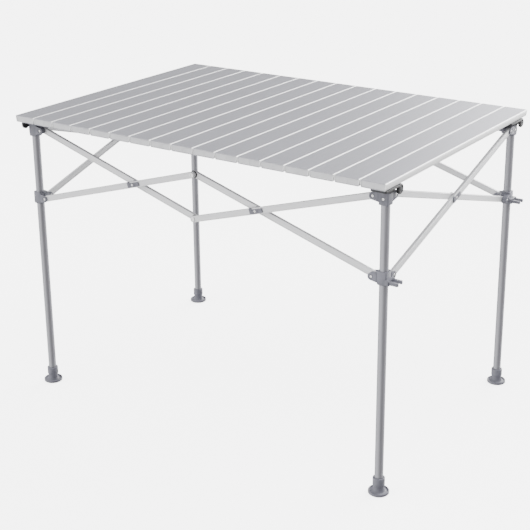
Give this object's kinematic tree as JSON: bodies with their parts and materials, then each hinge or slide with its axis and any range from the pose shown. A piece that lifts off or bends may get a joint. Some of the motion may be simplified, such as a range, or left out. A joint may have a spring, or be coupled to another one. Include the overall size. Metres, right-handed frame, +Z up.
{
  "type": "folding picnic table",
  "caption": "Folding picnic table with a roll-up aluminium slat top on a pop-up scissor frame with tube legs, sliding collars and round feet.",
  "frame": {"origin": "bottom centre of the whole table's box, on the floor; the top's own centre is 7.25 mm towards -X, because the release levers reach past the +X end", "axes": "+X along the long side towards the end with the release levers, +Y along the slats towards the back, +Z up"},
  "size_m": [1.0196, 0.6984, 0.711],
  "materials": {
    "slat_aluminium": "fine brushed, anodised",
    "frame_aluminium": "satin, drawn along the tube",
    "grey_plastic": "moulded, slightly glossy",
    "dark_plastic": "moulded, matte",
    "rivet_steel": "plated"
  },
  "bodies": {
    "leg_fl": {"leg_tube_fl": "frame_aluminium", "foot_fl": "grey_plastic", "top_bracket_fl": "grey_plastic"},
    "leg_fr": {"leg_tube_fr": "frame_aluminium", "foot_fr": "grey_plastic", "top_bracket_fr": "grey_plastic"},
    "leg_br": {"leg_tube_br": "frame_aluminium", "foot_br": "grey_plastic", "top_bracket_br": "grey_plastic"},
    "leg_bl": {"leg_tube_bl": "frame_aluminium", "foot_bl": "grey_plastic", "top_bracket_bl": "grey_plastic"},
    "collar_fl": {"slider_collar_fl": "grey_plastic"},
    "collar_fr": {"slider_collar_fr": "grey_plastic"},
    "collar_br": {"slider_collar_br": "grey_plastic"},
    "collar_bl": {"slider_collar_bl": "grey_plastic"},
    "lever_fr": {"release_lever_fr": "grey_plastic"},
    "lever_br": {"release_lever_br": "grey_plastic"},
    "front_arm_fl_top": {"front_arm_fl_top": "frame_aluminium", "cross_pin_front_fl": "rivet_steel"},
    "front_arm_fl_slider": {"front_arm_fl_slider": "frame_aluminium"},
    "front_arm_fr_top": {"front_arm_fr_top": "frame_aluminium", "cross_pin_front_fr": "rivet_steel"},
    "front_arm_fr_slider": {"front_arm_fr_slider": "frame_aluminium"},
    "right_arm_fr_top": {"right_arm_fr_top": "frame_aluminium", "cross_pin_right": "rivet_steel"},
    "right_arm_br_top": {"right_arm_br_top": "frame_aluminium"},
    "back_arm_br_top": {"back_arm_br_top": "frame_aluminium", "cross_pin_back_br": "rivet_steel"},
    "back_arm_br_slider": {"back_arm_br_slider": "frame_aluminium"},
    "back_arm_bl_top": {"back_arm_bl_top": "frame_aluminium", "cross_pin_back_bl": "rivet_steel"},
    "back_arm_bl_slider": {"back_arm_bl_slider": "frame_aluminium"},
    "left_arm_fl_top": {"left_arm_fl_top": "frame_aluminium", "cross_pin_left": "rivet_steel"},
    "left_arm_bl_top": {"left_arm_bl_top": "frame_aluminium"},
    "top_start": {"slat_01": "slat_aluminium", "corner_clip_fl": "dark_plastic", "corner_clip_bl": "dark_plastic"},
    "top_slat_02": {"slat_02": "slat_aluminium"},
    "top_slat_03": {"slat_03": "slat_aluminium"},
    "top_slat_04": {"slat_04": "slat_aluminium"},
    "top_slat_05": {"slat_05": "slat_aluminium"},
    "top_slat_06": {"slat_06": "slat_aluminium"},
    "top_slat_07": {"slat_07": "slat_aluminium"},
    "top_slat_08": {"slat_08": "slat_aluminium"},
    "top_slat_09": {"slat_09": "slat_aluminium"},
    "top_slat_10": {"slat_10": "slat_aluminium"},
    "top_slat_11": {"slat_11": "slat_aluminium"},
    "top_slat_12": {"slat_12": "slat_aluminium"},
    "top_slat_13": {"slat_13": "slat_aluminium"},
    "top_slat_14": {"slat_14": "slat_aluminium"},
    "top_slat_15": {"slat_15": "slat_aluminium"},
    "top_slat_16": {"slat_16": "slat_aluminium"},
    "top_finish": {"slat_17": "slat_aluminium", "corner_clip_fr": "dark_plastic", "corner_clip_br": "dark_plastic"}
  },
  "joints": [
    {"name": "frame_fold", "type": "hinge", "parent": "leg_fl", "child": "front_arm_fl_top", "pos_m": [-0.46275, -0.30875, 0.671], "axis": [0, 1, 0], "range_deg": [0, 68]},
    {"name": "front_cross_left", "type": "hinge", "parent": "front_arm_fl_top", "child": "front_arm_fl_slider", "pos_m": [-0.178, -0.30875, 0.585], "axis": [0, 1, 0], "range_deg": [-136.5, 0]},
    {"name": "collar_fl_pin", "type": "hinge", "parent": "front_arm_fl_slider", "child": "collar_fl", "pos_m": [-0.46275, -0.30875, 0.499], "axis": [0, 1, 0], "range_deg": [0, 68.5]},
    {"name": "front_middle", "type": "hinge", "parent": "front_arm_fl_top", "child": "front_arm_fr_top", "pos_m": [-0.00725, -0.30875, 0.53343], "axis": [0, 1, 0], "range_deg": [-136.5, 0]},
    {"name": "leg_fr_pin", "type": "hinge", "parent": "front_arm_fr_top", "child": "leg_fr", "pos_m": [0.44825, -0.30875, 0.671], "axis": [0, 1, 0], "range_deg": [0, 68.5]},
    {"name": "front_cross_right", "type": "hinge", "parent": "front_arm_fr_top", "child": "front_arm_fr_slider", "pos_m": [0.1635, -0.30875, 0.585], "axis": [0, 1, 0], "range_deg": [0, 136.5]},
    {"name": "collar_fr_pin", "type": "hinge", "parent": "front_arm_fr_slider", "child": "collar_fr", "pos_m": [0.44825, -0.30875, 0.499], "axis": [0, 1, 0], "range_deg": [-68.5, 0]},
    {"name": "left_fold", "type": "hinge", "parent": "leg_fl", "child": "left_arm_fl_top", "pos_m": [-0.48675, -0.28475, 0.671], "axis": [1, 0, 0], "range_deg": [-68.5, 0]},
    {"name": "left_cross", "type": "hinge", "parent": "left_arm_fl_top", "child": "left_arm_bl_top", "pos_m": [-0.48675, 0, 0.585], "axis": [1, 0, 0], "range_deg": [0, 136.5]},
    {"name": "leg_bl_pin", "type": "hinge", "parent": "left_arm_bl_top", "child": "leg_bl", "pos_m": [-0.48675, 0.28475, 0.671], "axis": [1, 0, 0], "range_deg": [-68.5, 0]},
    {"name": "collar_bl_pin", "type": "hinge", "parent": "left_arm_fl_top", "child": "collar_bl", "pos_m": [-0.48675, 0.28475, 0.499], "axis": [1, 0, 0], "range_deg": [0, 68.5]},
    {"name": "right_fold", "type": "hinge", "parent": "leg_fr", "child": "right_arm_fr_top", "pos_m": [0.47225, -0.28475, 0.671], "axis": [1, 0, 0], "range_deg": [-68.5, 0]},
    {"name": "right_cross", "type": "hinge", "parent": "right_arm_fr_top", "child": "right_arm_br_top", "pos_m": [0.47225, 0, 0.585], "axis": [1, 0, 0], "range_deg": [0, 136.5]},
    {"name": "leg_br_pin", "type": "hinge", "parent": "right_arm_br_top", "child": "leg_br", "pos_m": [0.47225, 0.28475, 0.671], "axis": [1, 0, 0], "range_deg": [-68.5, 0]},
    {"name": "collar_br_pin", "type": "hinge", "parent": "right_arm_fr_top", "child": "collar_br", "pos_m": [0.47225, 0.28475, 0.499], "axis": [1, 0, 0], "range_deg": [0, 68.5]},
    {"name": "back_left_fold", "type": "hinge", "parent": "leg_bl", "child": "back_arm_bl_top", "pos_m": [-0.46275, 0.30875, 0.671], "axis": [0, 1, 0], "range_deg": [0, 68.5]},
    {"name": "back_cross_left", "type": "hinge", "parent": "back_arm_bl_top", "child": "back_arm_bl_slider", "pos_m": [-0.178, 0.30875, 0.585], "axis": [0, 1, 0], "range_deg": [-136.5, 0]},
    {"name": "back_right_fold", "type": "hinge", "parent": "leg_br", "child": "back_arm_br_top", "pos_m": [0.44825, 0.30875, 0.671], "axis": [0, 1, 0], "range_deg": [-68.5, 0]},
    {"name": "back_cross_right", "type": "hinge", "parent": "back_arm_br_top", "child": "back_arm_br_slider", "pos_m": [0.1635, 0.30875, 0.585], "axis": [0, 1, 0], "range_deg": [0, 136.5]},
    {"name": "lever_fr_pull", "type": "slide", "parent": "collar_fr", "child": "lever_fr", "axis": [1, 0, 0], "range_m": [0, 0.004], "stiffness_N_per_m": 400},
    {"name": "lever_br_pull", "type": "slide", "parent": "collar_br", "child": "lever_br", "axis": [1, 0, 0], "range_m": [0, 0.004], "stiffness_N_per_m": 400},
    {"name": "top_lift", "type": "slide", "parent": "leg_fl", "child": "top_start", "axis": [0, 0, 1], "range_m": [0, 0.15]},
    {"name": "top_roll", "type": "hinge", "parent": "top_start", "child": "top_slat_02", "pos_m": [-0.44975, 0, 0.711], "axis": [0, -1, 0], "range_deg": [0, 26.32]},
    {"name": "slat_03_hinge", "type": "hinge", "parent": "top_slat_02", "child": "top_slat_03", "pos_m": [-0.39075, 0, 0.711], "axis": [0, -1, 0], "range_deg": [0, 27.52]},
    {"name": "slat_04_hinge", "type": "hinge", "parent": "top_slat_03", "child": "top_slat_04", "pos_m": [-0.33175, 0, 0.711], "axis": [0, -1, 0], "range_deg": [0, 28.27]},
    {"name": "slat_05_hinge", "type": "hinge", "parent": "top_slat_04", "child": "top_slat_05", "pos_m": [-0.27275, 0, 0.711], "axis": [0, -1, 0], "range_deg": [0, 29.1]},
    {"name": "slat_06_hinge", "type": "hinge", "parent": "top_slat_05", "child": "top_slat_06", "pos_m": [-0.21375, 0, 0.711], "axis": [0, -1, 0], "range_deg": [0, 30]},
    {"name": "slat_07_hinge", "type": "hinge", "parent": "top_slat_06", "child": "top_slat_07", "pos_m": [-0.15475, 0, 0.711], "axis": [0, -1, 0], "range_deg": [0, 30.99]},
    {"name": "slat_08_hinge", "type": "hinge", "parent": "top_slat_07", "child": "top_slat_08", "pos_m": [-0.09575, 0, 0.711], "axis": [0, -1, 0], "range_deg": [0, 32.09]},
    {"name": "slat_09_hinge", "type": "hinge", "parent": "top_slat_08", "child": "top_slat_09", "pos_m": [-0.03675, 0, 0.711], "axis": [0, -1, 0], "range_deg": [0, 33.31]},
    {"name": "slat_10_hinge", "type": "hinge", "parent": "top_slat_09", "child": "top_slat_10", "pos_m": [0.02225, 0, 0.711], "axis": [0, -1, 0], "range_deg": [0, 34.69]},
    {"name": "slat_11_hinge", "type": "hinge", "parent": "top_slat_10", "child": "top_slat_11", "pos_m": [0.08125, 0, 0.711], "axis": [0, -1, 0], "range_deg": [0, 36.26]},
    {"name": "slat_12_hinge", "type": "hinge", "parent": "top_slat_11", "child": "top_slat_12", "pos_m": [0.14025, 0, 0.711], "axis": [0, -1, 0], "range_deg": [0, 38.06]},
    {"name": "slat_13_hinge", "type": "hinge", "parent": "top_slat_12", "child": "top_slat_13", "pos_m": [0.19925, 0, 0.711], "axis": [0, -1, 0], "range_deg": [0, 40.16]},
    {"name": "slat_14_hinge", "type": "hinge", "parent": "top_slat_13", "child": "top_slat_14", "pos_m": [0.25825, 0, 0.711], "axis": [0, -1, 0], "range_deg": [0, 42.66]},
    {"name": "slat_15_hinge", "type": "hinge", "parent": "top_slat_14", "child": "top_slat_15", "pos_m": [0.31725, 0, 0.711], "axis": [0, -1, 0], "range_deg": [0, 45.7]},
    {"name": "slat_16_hinge", "type": "hinge", "parent": "top_slat_15", "child": "top_slat_16", "pos_m": [0.37625, 0, 0.711], "axis": [0, -1, 0], "range_deg": [0, 49.49]},
    {"name": "slat_17_hinge", "type": "hinge", "parent": "top_slat_16", "child": "top_finish", "pos_m": [0.43525, 0, 0.711], "axis": [0, -1, 0], "range_deg": [0, 54.41]}
  ],
  "couplings": [
    {"joint": "front_cross_left", "follows": "frame_fold", "ratio": -2},
    {"joint": "collar_fl_pin", "follows": "frame_fold", "ratio": 1},
    {"joint": "front_middle", "follows": "frame_fold", "ratio": -2},
    {"joint": "leg_fr_pin", "follows": "frame_fold", "ratio": 1},
    {"joint": "front_cross_right", "follows": "frame_fold", "ratio": 2},
    {"joint": "collar_fr_pin", "follows": "frame_fold", "ratio": -1},
    {"joint": "left_fold", "follows": "frame_fold", "ratio": -1},
    {"joint": "left_cross", "follows": "frame_fold", "ratio": 2},
    {"joint": "leg_bl_pin", "follows": "frame_fold", "ratio": -1},
    {"joint": "collar_bl_pin", "follows": "frame_fold", "ratio": 1},
    {"joint": "right_fold", "follows": "frame_fold", "ratio": -1},
    {"joint": "right_cross", "follows": "frame_fold", "ratio": 2},
    {"joint": "leg_br_pin", "follows": "frame_fold", "ratio": -1},
    {"joint": "collar_br_pin", "follows": "frame_fold", "ratio": 1},
    {"joint": "back_left_fold", "follows": "frame_fold", "ratio": 1},
    {"joint": "back_cross_left", "follows": "frame_fold", "ratio": -2},
    {"joint": "back_right_fold", "follows": "frame_fold", "ratio": -1},
    {"joint": "back_cross_right", "follows": "frame_fold", "ratio": 2},
    {"joint": "slat_03_hinge", "follows": "top_roll", "ratio": 1.0265},
    {"joint": "slat_04_hinge", "follows": "top_roll", "ratio": 1.0552},
    {"joint": "slat_05_hinge", "follows": "top_roll", "ratio": 1.0865},
    {"joint": "slat_06_hinge", "follows": "top_roll", "ratio": 1.1207},
    {"joint": "slat_07_hinge", "follows": "top_roll", "ratio": 1.1584},
    {"joint": "slat_08_hinge", "follows": "top_roll", "ratio": 1.2001},
    {"joint": "slat_09_hinge", "follows": "top_roll", "ratio": 1.2467},
    {"joint": "slat_10_hinge", "follows": "top_roll", "ratio": 1.299},
    {"joint": "slat_11_hinge", "follows": "top_roll", "ratio": 1.3586},
    {"joint": "slat_12_hinge", "follows": "top_roll", "ratio": 1.4271},
    {"joint": "slat_13_hinge", "follows": "top_roll", "ratio": 1.507},
    {"joint": "slat_14_hinge", "follows": "top_roll", "ratio": 1.602},
    {"joint": "slat_15_hinge", "follows": "top_roll", "ratio": 1.7173},
    {"joint": "slat_16_hinge", "follows": "top_roll", "ratio": 1.8613},
    {"joint": "slat_17_hinge", "follows": "top_roll", "ratio": 2.0484}
  ]
}
